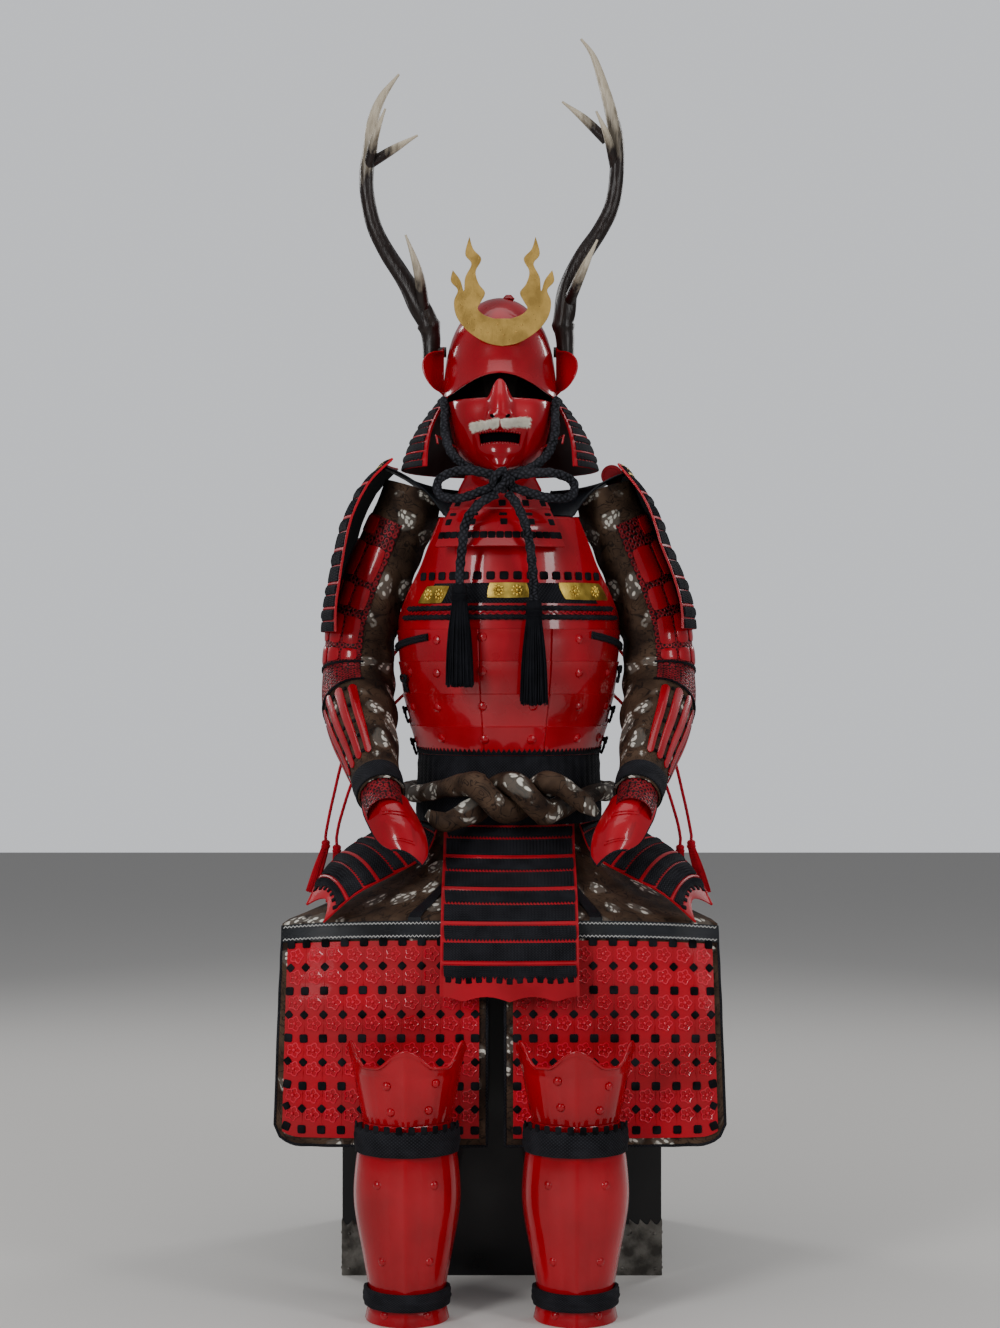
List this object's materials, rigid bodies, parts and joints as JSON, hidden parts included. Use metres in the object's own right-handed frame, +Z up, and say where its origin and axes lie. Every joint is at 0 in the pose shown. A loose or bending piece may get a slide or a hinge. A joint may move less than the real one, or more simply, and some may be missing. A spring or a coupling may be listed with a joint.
{
  "type": "samurai armour on its armour chest with a display stand",
  "caption": "Seated samurai armour with horned helmet, half mask, laced plates, sleeves, thigh guard and shin guards, on a chest.",
  "frame": {"origin": "on the floor under the middle of the chest, at the chest's foot", "axes": "+Z up; the armour faces -Y; +X is to the right as it is looked at from the front"},
  "size_m": [0.7062, 0.78, 2.0061],
  "materials": {
    "red_lacquer": "red lacquer, glossy",
    "black_lace": "black braided lacing",
    "gilt": "gilded, lightly pitted",
    "antler": "dark brown antler with ivory tips",
    "brocade": "grey-brown brocade with pale flowers",
    "black_leather": "smooth black leather",
    "red_silk": "red silk cord",
    "black_lacquer": "black lacquer on wood",
    "stand_wood": "dark stained wood, plain"
  },
  "bodies": {
    "root": {"helmet_bowl": "red_lacquer", "ear_left": "red_lacquer", "ear_right": "red_lacquer", "face_mask": "red_lacquer", "throat_guard": "red_lacquer", "breast_plate": "red_lacquer", "back_plate": "red_lacquer", "upper_arm_guard_left": "red_lacquer", "upper_arm_guard_right": "red_lacquer", "forearm_guard_left": "red_lacquer", "forearm_guard_right": "red_lacquer", "hand_guard_left": "red_lacquer", "hand_guard_right": "red_lacquer", "thigh_plates_left": "red_lacquer", "thigh_plates_right": "red_lacquer", "shin_plate_left": "red_lacquer", "shin_plate_right": "red_lacquer", "knee_plate_left": "red_lacquer", "knee_plate_right": "red_lacquer", "front_crest": "gilt", "antler_left": "antler", "antler_right": "antler", "neck_guard": "black_lace", "chin_cord_left": "black_lace", "chin_cord_right": "black_lace", "chin_bow": "black_lace", "cord_end_left": "black_lace", "cord_end_right": "black_lace", "tassel_left": "black_lace", "tassel_right": "black_lace", "waist_lacing": "black_lace", "tasset_front": "black_lace", "tasset_lap_left": "black_lace", "tasset_lap_right": "black_lace", "tasset_side_left": "black_lace", "tasset_side_right": "black_lace", "tasset_back": "black_lace", "shoulder_guard_left": "black_lace", "shoulder_guard_right": "black_lace", "knee_tie_left": "black_lace", "knee_tie_right": "black_lace", "ankle_tie_left": "black_lace", "ankle_tie_right": "black_lace", "sleeve_left": "brocade", "sleeve_right": "brocade", "belt_rope_left": "brocade", "belt_rope_right": "brocade", "thigh_apron": "brocade", "shoulder_strap_left": "black_leather", "shoulder_strap_right": "black_leather", "thigh_band": "black_leather", "chest_body": "black_lacquer", "chest_lid": "black_lacquer", "inner_stand": "stand_wood", "back_cord_left": "red_silk", "back_cord_right": "red_silk", "back_tassel_left_outer": "red_silk", "back_tassel_left_inner": "red_silk", "back_tassel_right_outer": "red_silk", "back_tassel_right_inner": "red_silk"}
  },
  "joints": []
}
